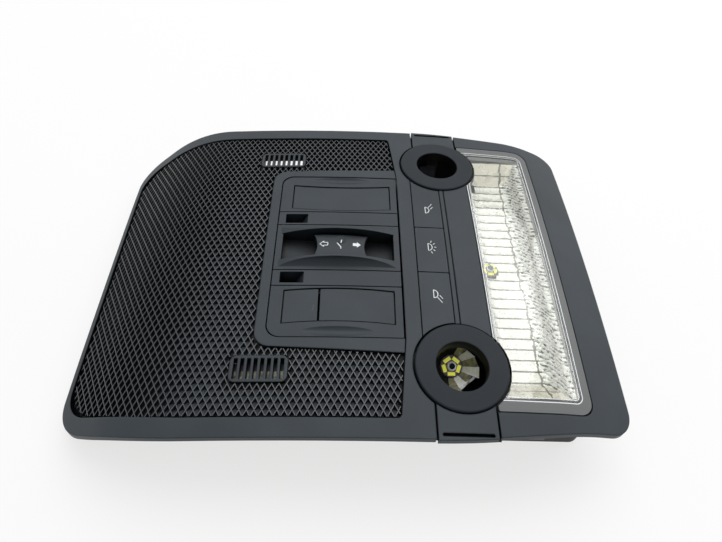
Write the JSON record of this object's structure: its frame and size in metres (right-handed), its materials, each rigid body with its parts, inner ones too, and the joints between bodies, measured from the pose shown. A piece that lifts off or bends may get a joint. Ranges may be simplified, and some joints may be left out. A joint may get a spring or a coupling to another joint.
{
  "type": "roof console light",
  "caption": "Crowned car roof console with diamond grille, slotted vents, sliding roof switch, push buttons, ringed reading lamps and a fluted dome light over a rear housing.",
  "frame": {"origin": "middle of the plan outline, on the flat back of the rear housing", "axes": "+X toward the dome light end (car rear), +Y to the car's left side, +Z out of the visible face"},
  "size_m": [0.2247, 0.1726, 0.0432],
  "materials": {
    "trim": "fine satin grain, anthracite",
    "grille": "satin moulded diamond texture",
    "keys": "soft satin",
    "rings": "soft satin",
    "lens": "clear polished, frosted border",
    "reflector": "bright metallised",
    "led": "yellow phosphor under clear dome",
    "board": "solder mask",
    "housing": "matt moulded",
    "window": "dark polished",
    "socket": "matt moulded",
    "clip": "spring steel, dull"
  },
  "bodies": {
    "console": {"trim_frame": "trim", "centre_bar": "trim", "lens_surround": "trim", "mesh_grille": "grille", "left_cover": "keys", "right_cover": "keys", "left_blank": "keys", "right_blank": "keys", "right_indicator": "keys", "left_window_strip": "keys", "right_window_strip": "keys", "sunroof_housing": "keys", "lamp_ring_left": "rings", "lamp_ring_right": "rings", "dome_lens": "lens", "dome_reflector": "reflector", "lamp_reflector_left": "reflector", "lamp_reflector_right": "reflector", "dome_led": "led", "lamp_led_left": "led", "lamp_led_right": "led", "main_board": "board", "switch_board": "board", "rear_housing": "housing", "switch_housing": "housing", "lamp_holder_left": "housing", "lamp_holder_right": "housing", "slide_base": "housing", "microphone": "housing", "tact_switch_left": "housing", "tact_switch_dome": "housing", "tact_switch_right": "housing", "left_window_pane": "window", "right_window_pane": "window", "connector_socket": "socket", "roof_clip_left": "clip", "roof_clip_right": "clip"},
    "left_key": {"reading_button_left": "keys"},
    "dome_key": {"dome_button": "keys"},
    "right_key": {"reading_button_right": "keys"},
    "carriage": {"slider_carriage": "housing"},
    "knob": {"slider_knob": "keys"}
  },
  "joints": [
    {"name": "left_reading_press", "type": "slide", "parent": "console", "child": "left_key", "axis": [0, 0, -1], "range_m": [0, 0.0012], "stiffness_N_per_m": 800, "springref_m": -0.0002},
    {"name": "dome_press", "type": "slide", "parent": "console", "child": "dome_key", "axis": [0, 0, -1], "range_m": [0, 0.0012], "stiffness_N_per_m": 800, "springref_m": -0.0002},
    {"name": "right_reading_press", "type": "slide", "parent": "console", "child": "right_key", "axis": [0, 0, -1], "range_m": [0, 0.0012], "stiffness_N_per_m": 800, "springref_m": -0.0002},
    {"name": "roof_slide", "type": "slide", "parent": "console", "child": "carriage", "axis": [1, 0, 0], "range_m": [-0.004, 0.004], "stiffness_N_per_m": 300},
    {"name": "roof_press", "type": "slide", "parent": "carriage", "child": "knob", "axis": [0, 0, -1], "range_m": [0, 0.0015], "stiffness_N_per_m": 800, "springref_m": -0.0002}
  ]
}
